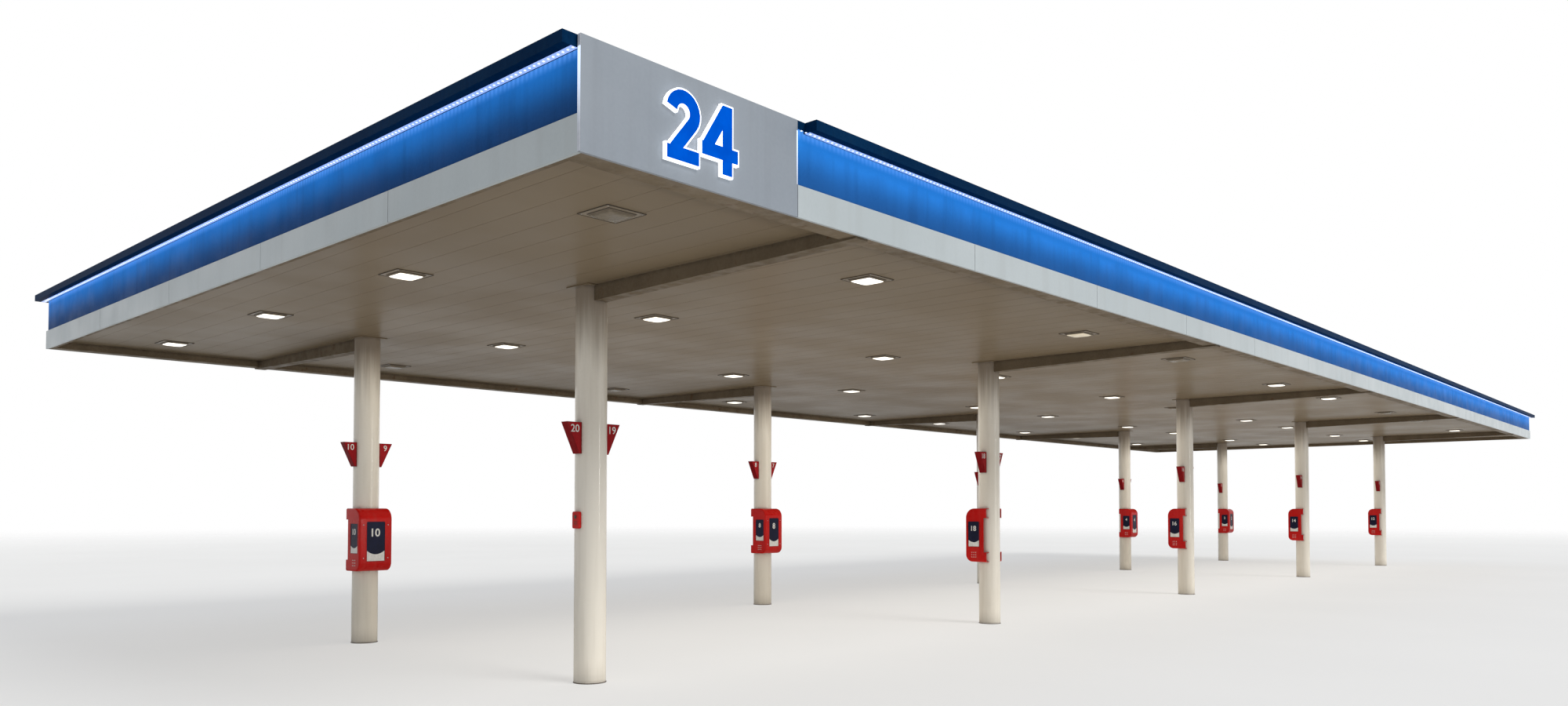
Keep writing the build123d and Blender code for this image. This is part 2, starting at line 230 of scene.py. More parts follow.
# %% Rain streaks, a node group
rain_streaks, given = new_group("rain_streaks", {"Per metre": 12, "Amount": 0.5})
drawn_down = noise(rain_streaks, given["Per metre"], 4.0, (1, 1, 0.05))
drawn_down = remap(rain_streaks, drawn_down, 0.45, 0.72)
close_group(rain_streaks, "Mask", product(rain_streaks, drawn_down, given["Amount"]))

# %% [markdown]
# No large painted face is one even tone: dust, sun and cleaning leave soft clouds. The mottling
# group gives a slow noise for the clouds and a fast one for specks, mixed into one value.

# %% Mottling, a node group
mottling, given = new_group("mottling", {"Clouds per metre": 0.6, "Specks": 0.25})
layers = {0: given["Specks"], 2: noise(mottling, given["Clouds per metre"]),
          3: noise(mottling, 60.0, 2.0)}
both = add_node(mottling, "ShaderNodeMix", layers).outputs[0]
close_group(mottling, "Value", remap(mottling, both, 0.36, 0.64))

# %% [markdown]
# Sprayed and rolled paint has a fine skin, like orange peel, that breaks up its highlights. It is
# far too fine to model, so the group turns a small noise into a normal.

# %% Paint skin, a node group
paint_skin, given = new_group("paint_skin", {"Grain": 220, "Strength": 0.1})
peel = noise(paint_skin, given["Grain"], 2.0)
skin_normal = bump(paint_skin, peel, given["Strength"], 0.002)
close_group(paint_skin, "Normal", skin_normal, "NodeSocketVector")

# %% [markdown]
# Where two surfaces meet, dirt gathers and shade falls. The ambient occlusion node knows how closed
# in a point is, so it makes a mask of the corners without any painting by hand, and the mask
# darkens them as dirt and as painted shade together.

# %% Corner dirt and painted shade, a node group
corner_dirt_and_shade, given = new_group("corner_dirt_and_shade", {"Reach": 0.04, "Amount": 0.8})
within = {"Distance": given["Reach"]}
# How closed in a point is decides where corners are darkened, as dirt and as painted shade.
openness = add_node(corner_dirt_and_shade, "ShaderNodeAmbientOcclusion", within, samples=4).outputs["AO"]
closed_in = remap(corner_dirt_and_shade, openness, 0.95, 0.4)
ragged = remap(corner_dirt_and_shade, noise(corner_dirt_and_shade, 25.0), 0.3, 0.6, 0.45, 1.0)
darkening = product(corner_dirt_and_shade, closed_in, ragged)
close_group(corner_dirt_and_shade, "Mask", product(corner_dirt_and_shade, darkening, given["Amount"]))

# %% [markdown]
# Some stains belong to a height: rust water runs down from the column heads, and dirty water
# splashes the feet. At the heads the same mask also paints the shade under the deck. The group
# fades between two heights and lets narrow streaks make its edge ragged.

# %% Height stain and painted shade, a node group
height_stain_and_shade, given = new_group(
    "height_stain_and_shade", {"Full at": 2.5, "Gone at": 2.1, "Per metre": 30, "Amount": 0.8})
heights = {"Value": split(height_stain_and_shade, place(height_stain_and_shade))[2],
           "From Min": given["Gone at"], "From Max": given["Full at"]}
fade = add_node(height_stain_and_shade, "ShaderNodeMapRange", heights).outputs[0]
runs = noise(height_stain_and_shade, given["Per metre"], 3.0, (1, 1, 0.04))
runs = product(height_stain_and_shade, runs, 0.55)
reached = remap(height_stain_and_shade, maths(height_stain_and_shade, "ADD", fade, runs), 0.38, 1.2)
close_group(height_stain_and_shade, "Mask", product(height_stain_and_shade, reached, given["Amount"]))

# %% [markdown]
# No paint is evenly glossy: rain, dust and wiping dull it in patches. This group turns a slow
# noise into a roughness between the least and the most that a finish asks for.

# %% Uneven gloss, a node group
uneven_gloss, given = new_group("uneven_gloss", {"Per metre": 9, "Least": 0.3, "Most": 0.5})
patches = noise(uneven_gloss, given["Per metre"])
dulled = remap(uneven_gloss, patches, 0.32, 0.68, given["Least"], given["Most"])
close_group(uneven_gloss, "Roughness", dulled)

# %% [markdown]
# Large sheets are never quite flat, and their reflections waver as they do in life. Modelling it
# would cost thousands of faces for less than a millimetre, so the group makes a slow bump.

# %% Sheet wave, a node group
sheet_wave, given = new_group("sheet_wave", {"Per metre": 1.6, "Strength": 0.3})
swell = noise(sheet_wave, given["Per metre"], 1.0, (1, 0.7, 1))
wave_normal = bump(sheet_wave, swell, given["Strength"], 0.01)
close_group(sheet_wave, "Normal", wave_normal, "NodeSocketVector")

# %% [markdown]
# Dust lies on what faces up, and the deck has another finish on its top. The Z of the normal says
# how far a face looks up, so this group turns it into a mask.

# %% Upward faces, a node group
upward_face, given = new_group("upward_face", {"Starts at": 0.2, "Full at": 0.4})
looks_up = split(upward_face, normal_of(upward_face))[2]
upward_mask = remap(upward_face, looks_up, given["Starts at"], given["Full at"])
close_group(upward_face, "Mask", upward_mask)

# %% [markdown]
# Rust breaks through old paint in small irregular spots. Painting them would fix their size, so
# the group keeps only the peaks of a noise: where it starts decides how much of the metal has
# rusted.

# %% Rust specks, a node group
rust_specks, given = new_group(
    "rust_specks", {"Per metre": 14, "Starts at": 0.62, "Full at": 0.74, "Amount": 0.6})
peaks = noise(rust_specks, given["Per metre"], 5.0)
peaks = remap(rust_specks, peaks, given["Starts at"], given["Full at"])
close_group(rust_specks, "Mask", product(rust_specks, peaks, given["Amount"]))

# %% [markdown]
# Every finish starts from the Principled BSDF. A number that is the same all over is set on its own
# socket, so that the exported model keeps it. Nearly every paint here is clouded, streaked by rain
# and darkened in its corners by dirt and painted shade, so each of those layers is one call with
# the values of that paint.

# %% Helpers for a finish


def new_finish(name, **sockets):
    """A material whose plain numbers are set on the shader's own sockets."""
    finish = bpy.data.materials.new(name)
    finish.use_nodes = True
    shader = finish.node_tree.nodes["Principled BSDF"]
    for socket, value in sockets.items():
        shader.inputs[socket.replace("_", " ")].default_value = value
    print("finish", name)
    return finish, finish.node_tree, shader


def from_group(tree, group, **inputs):
    """Place a group in a material with its own values and return its output."""
    node = add_node(tree, "ShaderNodeGroup", node_tree=group)
    for label, value in inputs.items():
        node.inputs[label.replace("_", " ")].default_value = value
    return node.outputs[0]


def feed(tree, shader, **outputs):
    """Link outputs to the shader's sockets of the same names."""
    for socket, output in outputs.items():
        tree.links.new(output, shader.inputs[socket.replace("_", " ")])


print("finish helpers ready")

# %% Helpers for the layers of a paint


def clouded(tree, clouds_per_metre, specks, first, second):
    """A tone that drifts from the first to the second in clouds and specks."""
    mask = from_group(tree, mottling, Clouds_per_metre=clouds_per_metre, Specks=specks)
    return mix_colours(tree, mask, first, second)


def streaked(tree, tone, per_metre, amount, streak_tone):
    """The tone with streaks of rain over it."""
    mask = from_group(tree, rain_streaks, Per_metre=per_metre, Amount=amount)
    return mix_colours(tree, mask, tone, streak_tone)


def soiled(tree, tone, reach, amount, corner_tone):
    """The tone darkened in its corners, by dirt and by painted shade."""
    mask = from_group(tree, corner_dirt_and_shade, Reach=reach, Amount=amount)
    return mix_colours(tree, mask, tone, corner_tone)


def glossed(tree, per_metre, least, most):
    """The roughness of an unevenly glossy paint."""
    return from_group(tree, uneven_gloss, Per_metre=per_metre, Least=least, Most=most)


def peeled(tree, grain, strength):
    """The normal of a paint's fine skin."""
    return from_group(tree, paint_skin, Grain=grain, Strength=strength)


print("paint helpers ready")

# %% [markdown]
# The columns are steel pipe in a glossy off-white enamel. In life rust water has run down from
# their heads and their feet are scuffed. Two height stains and the streaks lie over a slightly
# uneven white, and the stain at the head is made dark and long enough to paint the shade under the
# deck too.

# %% Column enamel
column_enamel, tree, shader = new_finish("column_enamel", Coat_Weight=0.5, Coat_Roughness=0.08)
tone = clouded(tree, 0.9, 0.15, (0.81, 0.755, 0.650), (0.86, 0.810, 0.715))
tone = streaked(tree, tone, 26, 0.14, (0.48, 0.42, 0.33))
# The head stain is rust, made darker and longer as painted shade under the deck.
rust_and_shade_at_head = from_group(tree, height_stain_and_shade, Full_at=soffit, Gone_at=1.88, Per_metre=30, Amount=0.85)
tone = mix_colours(tree, rust_and_shade_at_head, tone, (0.19, 0.138, 0.092))
splashed = from_group(tree, height_stain_and_shade, Full_at=-0.05, Gone_at=0.18, Per_metre=18, Amount=0.35)
tone = mix_colours(tree, splashed, tone, (0.30, 0.26, 0.21))
tone = soiled(tree, tone, 0.03, 0.7, (0.10, 0.07, 0.05))
feed(tree, shader, Base_Color=tone, Roughness=glossed(tree, 9, 0.28, 0.42),
     Normal=peeled(tree, 160, 0.06))

# %% [markdown]
# The underside of the deck is one wide ceiling of smooth baked enamel, a warm taupe that holds
# painted shade under the roof, so it is far darker than the off-white paint itself, and its top is
# bare galvanised sheet. Both are one piece, so the finish asks which way a face looks: the normal's
# Z picks the metal on top. A patchy band where the deck meets its gutters is painted darker still.

# %% Ceiling side of the deck
deck_enamel, tree, shader = new_finish("deck_enamel", Specular_IOR_Level=0.05)
upward = from_group(tree, upward_face, Starts_at=0.25, Full_at=0.35)
# These dark taupe tones are the enamel's colour with painted shade under the roof in them.
enamel = clouded(tree, 0.35, 0.06, (0.200, 0.152, 0.097), (0.222, 0.170, 0.110))
along, across, _ = split(tree, place(tree))
# A patchy band near the gutters and the ends is painted darker.
darker_at_sides = (half_width - 0.42, half_width - 0.11)
darker_at_ends = (half_length - 0.16, half_length - 0.03)
side_band = remap(tree, maths(tree, "ABSOLUTE", across), *darker_at_sides)
end_band = remap(tree, maths(tree, "ABSOLUTE", along), *darker_at_ends)
band = maths(tree, "MAXIMUM", side_band, end_band)
patchy = remap(tree, noise(tree, 2.2, 4.0, (1, 3, 1)), 0.38, 0.62, 0.2, 0.8)
edge_darkening = product(tree, band, patchy)
ceiling = mix_colours(tree, edge_darkening, enamel, (0.075, 0.055, 0.034))
ceiling = soiled(tree, ceiling, 0.03, 0.3, (0.09, 0.068, 0.045))

# %% Galvanised top of the deck
cells = {"Vector": place(tree), "Scale": 55.0}
spangle = add_node(tree, "ShaderNodeTexVoronoi", cells).outputs["Color"]
spangle = add_node(tree, "ShaderNodeSeparateColor", {0: spangle}).outputs[0]
zinc = mix_colours(tree, spangle, (0.40, 0.42, 0.43), (0.55, 0.57, 0.58))
settled_dust = product(tree, noise(tree, 1.3, 5.0), 0.6)
zinc = mix_colours(tree, settled_dust, zinc, (0.33, 0.30, 0.26))
feed(tree, shader, Base_Color=mix_colours(tree, upward, ceiling, zinc),
     Metallic=product(tree, upward, 0.75), Roughness=glossed(tree, 1.2, 0.30, 0.38),
     Normal=from_group(tree, sheet_wave, Per_metre=1.2, Strength=0.2))
print("both sides of", deck_enamel.name)

# %% [markdown]
# The gutters and drain troughs are folded sheet in a darker brown: they are the dirtiest metal on
# the canopy, and the brown also holds painted shade under the roof, with the troughs a darker copy
# for more shade. Streaks, corner dirt with painted corner shade, and rust specks are layered over
# it.

# %% Gutter and trough paint


def brown_finish(name, low_tone, high_tone, streak_tone):
    """Old brown sheet: streaks, rust specks, and corner dirt with painted corner shade, over an
    uneven tone.
    """
    finish, nodes, face = new_finish(name, Specular_IOR_Level=0.15)
    brown = clouded(nodes, 2.2, 0.3, low_tone, high_tone)
    brown = streaked(nodes, brown, 7, 0.25, streak_tone)
    rust = from_group(nodes, rust_specks, Per_metre=14, Starts_at=0.62, Full_at=0.74, Amount=0.6)
    brown = mix_colours(nodes, rust, brown, (0.11, 0.050, 0.021))
    brown = soiled(nodes, brown, 0.03, 0.7, (0.04, 0.030, 0.021))
    feed(nodes, face, Base_Color=brown, Roughness=glossed(nodes, 12, 0.42, 0.7),
         Normal=peeled(nodes, 120, 0.15))
    return finish


gutter_brown = brown_finish(
    "gutter_brown", (0.150, 0.113, 0.072), (0.200, 0.152, 0.098), (0.085, 0.060, 0.036))
# The troughs are a darker copy of the gutter paint, as painted shade.
trough_shaded_brown = brown_finish(
    "trough_shaded_brown", (0.130, 0.098, 0.062), (0.165, 0.125, 0.081), (0.085, 0.062, 0.039))

# %% [markdown]
# The steel above the deck is never washed. It is grey primer with mottled dust and rust blooming
# through it, so the rust mask also makes the surface rough.

# %% Primed steel
primed_steel, tree, shader = new_finish("primed_steel", Specular_IOR_Level=0.35)
primer = clouded(tree, 1.5, 0.35, (0.20, 0.205, 0.205), (0.30, 0.30, 0.29))
bloom = from_group(tree, rust_specks, Per_metre=5, Starts_at=0.56, Full_at=0.68, Amount=1.0)
rusty = mix_colours(tree, noise(tree, 40.0), (0.16, 0.060, 0.025), (0.30, 0.13, 0.05))
coated = mix_colours(tree, bloom, primer, rusty)
feed(tree, shader, Base_Color=soiled(tree, coated, 0.05, 0.6, (0.07, 0.055, 0.04)),
     Roughness=remap(tree, bloom, 0.0, 1.0, 0.5, 0.9), Normal=peeled(tree, 90, 0.3))

# %% [markdown]
# The white band and the sign are flat aluminium trays. They could share one plain grey, but they
# are two paints, so one function makes both: an uneven tone, faint streaks of rain and a wavy
# face.

# %% Flat tray finish


def tray_finish(name, low_tone, high_tone, streak_tone, streak_amount):
    """Painted aluminium tray: uneven tone, rain streaks, corner dirt with painted corner shade, and
    a slightly wavy face.
    """
    finish, nodes, face = new_finish(name, Specular_IOR_Level=0.4)
    paint = clouded(nodes, 0.9, 0.15, low_tone, high_tone)
    paint = streaked(nodes, paint, 11, streak_amount, streak_tone)
    paint = soiled(nodes, paint, 0.02, 0.6, (0.08, 0.07, 0.06))
    feed(nodes, face, Base_Color=paint, Roughness=glossed(nodes, 4, 0.28, 0.40),
         Normal=from_group(nodes, sheet_wave, Per_metre=1.6, Strength=0.3))
    return finish


band_white = tray_finish(
    "band_white", (0.425, 0.475, 0.495), (0.475, 0.525, 0.545), (0.34, 0.36, 0.36), 0.18)
sign_grey = tray_finish(
    "sign_grey", (0.235, 0.268, 0.312), (0.268, 0.302, 0.346), (0.20, 0.22, 0.245), 0.25)

# %% [markdown]
# The blue panels are painted sheet, streaked by rain like the band below them. Their backs are
# bare metal: where a face looks towards the middle of the roof, the paint stops.

# %% Blue panel paint
panel_blue, tree, shader = new_finish("panel_blue", Specular_IOR_Level=0.02, Emission_Strength=1.0)
deep = clouded(tree, 0.8, 0.2, (0.010, 0.060, 0.205), (0.014, 0.076, 0.250))
streaks = from_group(tree, rain_streaks, Per_metre=17, Amount=0.2)
deep = mix_colours(tree, streaks, deep, (0.006, 0.032, 0.110))
deep = soiled(tree, deep, 0.02, 0.6, (0.006, 0.015, 0.035))
facing = normal_of(tree)
outward = vector_maths(tree, "DOT_PRODUCT", place(tree), facing, "Value")
front = maths(tree, "GREATER_THAN", outward, 0.0)
feed(tree, shader, Base_Color=mix_colours(tree, front, (0.30, 0.31, 0.32), deep),
     Roughness=glossed(tree, 5, 0.42, 0.56), Normal=peeled(tree, 200, 0.08))

# %% [markdown]
# The strip above lights the panels: azure at the top, deep blue below. The lamps could be left to
# make all of it, but hundreds of tiny lamps are slow and grainy. So each panel gives off a little
# light of its own, which fades with height, has a soft scallop below each diode and dims where
# rain has run.

# %% Light of the strip on the blue panels
diode_pitch = 0.032
scallop_height = 0.045
along, across, height = split(tree, place(tree))
wave = product(tree, maths(tree, "ADD", along, across), 2 * math.pi / diode_pitch)
scallop = remap(tree, maths(tree, "COSINE", wave), -1.0, 1.0, 0.55, 1.0)
fall = maths(tree, "POWER", remap(tree, height, band_top, cornice_low), 1.3)
long_side = maths(tree, "ABSOLUTE", split(tree, facing)[1])
wash = product(tree, fall, remap(tree, long_side, 0.2, 0.8, 0.80, 1.05))
wash = maths(tree, "ADD", wash, remap(tree, long_side, 0.2, 0.8, 0.0, 0.20))
darkening = remap(tree, noise(tree, 6.0, 5.0, (1, 1, 0.55)), 0.35, 0.7, 0.0, 0.42)
dimmed = remap(tree, maths(tree, "ADD", streaks, darkening), 0.0, 0.7, 1.05, 0.78)
wash = product(tree, wash, dimmed)
near_strip = remap(tree, height, cornice_low - scallop_height, cornice_low)
near_strip = product(tree, product(tree, near_strip, scallop), 0.7)
glow = mix_colours(tree, wash, (0, 0, 0), (0.010, 0.155, 0.52))
glow = mix_colours(tree, near_strip, glow, (0.10, 0.32, 0.85))
feed(tree, shader, Emission_Color=mix_colours(tree, front, (0, 0, 0), glow))
print("light on", panel_blue.name)

# %% [markdown]
# The cornice bar is a dark navy box section. It is nearly plain, with dust lying on its upper
# side, which the normal's Z finds.

# %% Cornice navy
bar_navy, tree, shader = new_finish("bar_navy", Specular_IOR_Level=0.01)
navy = clouded(tree, 1.2, 0.3, (0.0, 0.016, 0.056), (0.001, 0.024, 0.078))
lying = from_group(tree, upward_face, Starts_at=0.6, Full_at=0.95)
drifts = remap(tree, noise(tree, 7.0, 5.0), 0.35, 0.65, 0.15, 0.5)
dust = product(tree, lying, drifts)
navy = mix_colours(tree, dust, navy, (0.16, 0.16, 0.15))
feed(tree, shader, Base_Color=streaked(tree, navy, 16, 0.12, (0.01, 0.04, 0.08)),
     Roughness=remap(tree, dust, 0.0, 0.6, 0.45, 0.8), Normal=peeled(tree, 180, 0.1))

# %% [markdown]
# Red appears three times: as sprayed sheet and as printed vinyl on the number flags, and as
# moulded plastic on the poster units. The plastic is glossier, and all carry faint streaks of
# years of wiping.

# %% Red paint and red plastic


def red_finish(name, low_tone, high_tone, gloss, coat, skin):
    """Red with slow fading, faint streaks, and corner dirt with painted corner shade."""
    finish, nodes, face = new_finish(
        name, Coat_Weight=coat, Coat_Roughness=0.08, Specular_IOR_Level=0.08)
    red = clouded(nodes, 4.0, 0.25, low_tone, high_tone)
    red = streaked(nodes, red, 40, 0.10, (0.40, 0.10, 0.08))
    red = soiled(nodes, red, 0.015, 0.65, (0.09, 0.012, 0.010))
    feed(nodes, face, Base_Color=red, Roughness=glossed(nodes, 16, gloss, gloss + 0.14),
         Normal=peeled(nodes, 260, skin))
    return finish


flag_red = red_finish("flag_red", (0.200, 0.002, 0.005), (0.260, 0.004, 0.007), 0.34, 0.0, 0.08)
vinyl_red = red_finish("vinyl_red", (0.330, 0.008, 0.012), (0.400, 0.012, 0.017), 0.40, 0.0, 0.03)
unit_red = red_finish("unit_red", (0.520, 0.005, 0.004), (0.610, 0.009, 0.007), 0.26, 0.15, 0.04)

# %% [markdown]
# Lamp bodies are enamelled like the deck but a little paler, and like the deck their dark cream is
# painted shade under the roof.

# %% Lamp enamel
lamp_enamel, tree, shader = new_finish("lamp_enamel", Coat_Weight=0.1)
# The dark cream is off-white enamel with painted shade under the roof in it.
cream = clouded(tree, 6.0, 0.3, (0.19, 0.148, 0.098), (0.225, 0.176, 0.119))
feed(tree, shader, Base_Color=soiled(tree, cream, 0.012, 0.9, (0.07, 0.05, 0.035)),
     Roughness=glossed(tree, 20, 0.35, 0.5), Normal=peeled(tree, 200, 0.1))

# %% [markdown]
# A lens is ribbed glass in front of a lamp. A real glass with a lamp behind it would need many
# light bounces, so the lens gives off the light itself, unevenly, and its ribs are a bump. Lamps,
# light strips and the sign's digits all share the ribs, so they are a group.

# %% Glass ribs, a node group
glass_ribs, given = new_group("glass_ribs", {"Per metre": 60, "Strength": 0.4})
bands = {"Vector": place(glass_ribs), "Scale": given["Per metre"]}
ribs = add_node(glass_ribs, "ShaderNodeTexWave", bands, bands_direction="DIAGONAL").outputs[1]
rib_normal = bump(glass_ribs, ribs, given["Strength"], 0.001)
close_group(glass_ribs, "Normal", rib_normal, "NodeSocketVector")

# %% Lens finishes


def darker(colour, share):
    """That share of a colour."""
    return tuple(share * part for part in colour)


def lens_finish(name, glass, light, strength, coat=0.4):
    """Ribbed glass that gives off light between two tones, unless there is none."""
    finish, nodes, face = new_finish(name, Roughness=0.25, Coat_Weight=coat,
                                     Specular_IOR_Level=coat, Emission_Strength=strength)
    if light:
        feed(nodes, face, Emission_Color=clouded(nodes, 9.0, 0.1, *light))
    feed(nodes, face, Base_Color=clouded(nodes, 20.0, 0.4, glass, darker(glass, 0.8)),
         Normal=from_group(nodes, glass_ribs, Per_metre=60, Strength=0.4))
    return finish


lens_lit = lens_finish("lens_lit", (0.9, 0.86, 0.76), [(1.0, 0.91, 0.74), (1.0, 0.97, 0.88)], 1.7)
lens_dim = lens_finish("lens_dim", (0.7, 0.64, 0.52), [(0.55, 0.44, 0.28), (0.75, 0.64, 0.45)], 0.5)
lens_off = lens_finish("lens_off", (0.205, 0.168, 0.118), None, 0.0, 0.15)
strip_glow = lens_finish(
    "strip_glow", (0.45, 0.55, 0.85), [(0.28, 0.42, 0.95), (0.40, 0.52, 1.0)], 0.7)
diode_glow = lens_finish(
    "diode_glow", (0.9, 0.9, 1.0), [(0.70, 0.80, 1.0), (0.90, 0.94, 1.0)], 1.3)

# %% [markdown]
# Small parts share four plain finishes: print white for the numbers, navy ink for the posters, dark
# rubber for gaskets, which also paints shadow lines and the shade in slots, and zinc plate for
# screws. Each still has its own grain and gloss.

# %% Small-part finishes


def small_finish(name, low_tone, high_tone, gloss, metal=0.0, clouds_per_metre=30.0, shine=0.5):
    """A simple uneven finish for a small part."""
    finish, nodes, face = new_finish(name, Metallic=metal, Specular_IOR_Level=shine)
    surface = clouded(nodes, clouds_per_metre, 0.35, low_tone, high_tone)
    surface = soiled(nodes, surface, 0.006, 0.5, darker(low_tone, 0.3))
    feed(nodes, face, Base_Color=surface, Roughness=glossed(nodes, 60, gloss, gloss + 0.15),
         Normal=peeled(nodes, 300, 0.12))
    return finish


print_white = small_finish("print_white", (0.74, 0.73, 0.70), (0.84, 0.83, 0.80), 0.35)
poster_navy = small_finish(
    "poster_navy", (0.005, 0.007, 0.028), (0.009, 0.012, 0.042), 0.3, 0.0, 8.0, 0.15)
# This dark rubber is real on seals and the button, and it is painted shade in the lamps' shadow
# lines and the call box's slots.
dark_rubber_and_shade = small_finish("dark_rubber_and_shade", (0.062, 0.048, 0.034), (0.085, 0.067, 0.048), 0.6)
zinc_plate = small_finish("zinc_plate", (0.45, 0.46, 0.46), (0.62, 0.62, 0.61), 0.3, 0.9)

# %% [markdown]
# The frame's pieces already carry one material slot each, named for the finish they want.
# Swapping the material in the slot dresses a piece and leaves its mesh alone.

# %% Give the frame's own pieces their finishes
slot_finishes = {
    "column_paint": column_enamel, "deck_paint": deck_enamel, "frame_steel": primed_steel,
    "white_panel": band_white, "blue_panel": panel_blue, "sign_panel": sign_grey,
    "cornice_paint": bar_navy, "strip_lens": strip_glow, "gutter_paint": gutter_brown,
    "lamp_housing": lamp_enamel, "lamp_lens": lens_off, "flag_paint": flag_red,
    "unit_plastic": unit_red}
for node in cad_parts.values():
    for holder in node.material_slots:
        holder.material = slot_finishes[holder.material.name]
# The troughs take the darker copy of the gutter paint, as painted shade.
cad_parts["drain_troughs"].material_slots[0].material = trough_shaded_brown
print("finishes given to", len(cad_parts), "nodes")

# %% [markdown]
# Small parts repeat hundreds of times. Copying objects would fill the scene with names, so one
# template is modelled and its copies are joined into one mesh, which keeps the file light.

# %% Helpers for pieces
sharp_angle = math.radians(35)


def joined_copies(name, parts, finish):
    """One named piece of the canopy, made of (template, place) pairs."""
    points, faces = [], []
    for template, where in parts:
        start = len(points)
        points += [where @ v.co for v in template.verts]
        faces += [[start + v.index for v in f.verts] for f in template.faces]
    mesh = bpy.data.meshes.new(name)
    mesh.from_pydata(points, [], faces)
    mesh.materials.append(finish)
    mesh.shade_smooth()
    mesh.set_sharp_from_angle(angle=sharp_angle)
    piece = bpy.data.objects.new(name, mesh)
    scene.collection.objects.link(piece)
    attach(piece, "root")
    print(name, "is", len(parts), "copies with", len(faces), "faces")
    return piece


def at(x, y, z=0.0):
    """A place at that point, without a turn."""
    return Matrix.Translation((x, y, z))


def facing_place(point, normal):
    """A place whose X runs to the right, Y up and Z out along the normal of an upright face."""
    outward = Vector(normal)
    up = Vector((0, 0, 1))
    right = up.cross(outward)
    return at(*point) @ Matrix((right, up, outward)).transposed().to_4x4()


def four_corners(x, y):
    """The corners of a rectangle about the origin, as (x, y) pairs."""
    return [(side_x * x, side_y * y) for side_x in (-1, 1) for side_y in (-1, 1)]


print("piece helpers ready")

# %% Helpers for solid templates


def settled(shape):
    """The bmesh with its numbering up to date, so that it can be copied."""
    bmesh.ops.recalc_face_normals(shape, faces=shape.faces[:])
    shape.verts.index_update()
    return shape


def block(size, bevel, middle=(0, 0, 0)):
    """A box with bevelled edges."""
    shape = bmesh.new()
    bmesh.ops.create_cube(shape, size=1, matrix=at(*middle) @ Matrix.Diagonal((*size, 1)))
    edges = shape.edges[:]
    bmesh.ops.bevel(shape, geom=edges, offset=bevel, segments=1, affect="EDGES", profile=0.5)
    return settled(shape)


def stacked_rings(outlines, capped=True):
    """A skin over a list of outlines of equal count, with caps on its two ends."""
    shape = bmesh.new()
    rings = [[shape.verts.new(p) for p in outline] for outline in outlines]
    for lower, upper in zip(rings, rings[1:]):
        for i in range(len(lower)):
            j = (i + 1) % len(lower)
            shape.faces.new((lower[i], lower[j], upper[j], upper[i]))
    if capped:
        shape.faces.new(rings[-1])
        shape.faces.new(reversed(rings[0]))
    return settled(shape)


def ring_loop(outlines):
    """As stacked_rings, but it ends where it began, which leaves a hole in the middle."""
    return stacked_rings([*outlines, outlines[0]], capped=False)


print("template helpers ready")

# %% Helpers for outlines


def round_outline(radius, z, sides=12):
    """Points of a circle at height z."""
    turns = [2 * math.pi * i / sides for i in range(sides)]
    return [(radius * math.cos(turn), radius * math.sin(turn), z) for turn in turns]


def turned(profile, sides=12):
    """A round part, from steps of its (radius, height)."""
    return stacked_rings([round_outline(radius, z, sides) for radius, z in profile])


def rounded_outline(width, height, z, corner=0.0, steps=4):
    """Points of a rectangle at height z, with rounded corners unless corner is 0."""
    points = []
    for quarter, (side_x, side_y) in enumerate(((1, 1), (-1, 1), (-1, -1), (1, -1))):
        x, y = side_x * (width / 2 - corner), side_y * (height / 2 - corner)
        for step in range(steps + 1 if corner else 1):
            angle = math.pi / 2 * (quarter + step / steps)
            points.append((x + corner * math.cos(angle), y + corner * math.sin(angle), z))
    return points


print("outline helpers ready")

# %% [markdown]
# Each lamp hangs a square lens below its housing, slightly pillowed and held in a thin bezel. The
# lens could stay a flat plate, but the pillow catches light along its edges, so stacked outlines
# that grow rounder as they drop are skinned over. Most lamps are lit, two are failing and the
# rest are dark.

# %% Lens template
lens_size = 0.15
lens_corner = 0.012
lens_low, lens_top = (end.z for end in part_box("light_lenses"))
lens_steps = ((0.001, 0.0008, 0.014), (0.005, 0.0034, 0.022), (0.016, 0.0058, 0.032),
              (0.034, 0.0074, 0.040), (0.060, 0.0084, 0.038), (0.092, 0.0089, 0.027))
lens_outlines = [rounded_outline(lens_size, lens_size, lens_top, lens_corner, 6)]
for shrink, drop, corner in lens_steps:
    size = lens_size - shrink
    lens_outlines.append(rounded_outline(size, size, lens_low - drop, corner, 6))
lens_template = stacked_rings(lens_outlines)
print("lens hangs", round(lens_steps[-1][1], 4), "m below its plate")

# %% Lamp lenses
lamp_offset = 0.995
lamp_rows = (-2.97, -0.99, 0.99, 2.97)
lamp_states = ("off lit dim off lit lit off off lit off",
               "lit lit lit lit lit off lit lit lit lit",
               "lit lit lit lit lit lit lit lit lit lit",
               "lit off off lit lit lit lit dim lit lit")
lamp_places = {"lit": [], "dim": [], "off": []}
for row_y, states in zip(lamp_rows, lamp_states):
    for position, state in enumerate(states.split()):
        side = -1 if position % 2 == 0 else 1
        lamp_x = near_columns[position // 2][0] + side * lamp_offset
        lamp_places[state].append(at(lamp_x, row_y))
for state, glass in (("lit", lens_lit), ("dim", lens_dim), ("off", lens_off)):
    lenses = [(lens_template, where) for where in lamp_places[state]]
    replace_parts(joined_copies("lens_" + state, lenses, glass), "light_lenses")
all_lamps = sum(lamp_places.values(), [])

# %% [markdown]
# Round each lens goes a bezel, with a screw at each corner of the flange, and where the flange
# meets the deck a dark gasket shows, which also paints the shadow line along that joint. These are
# thin frames, so one helper sweeps a small section round a square.

# %% Lamp bezels, gaskets with painted shadow lines, and screws


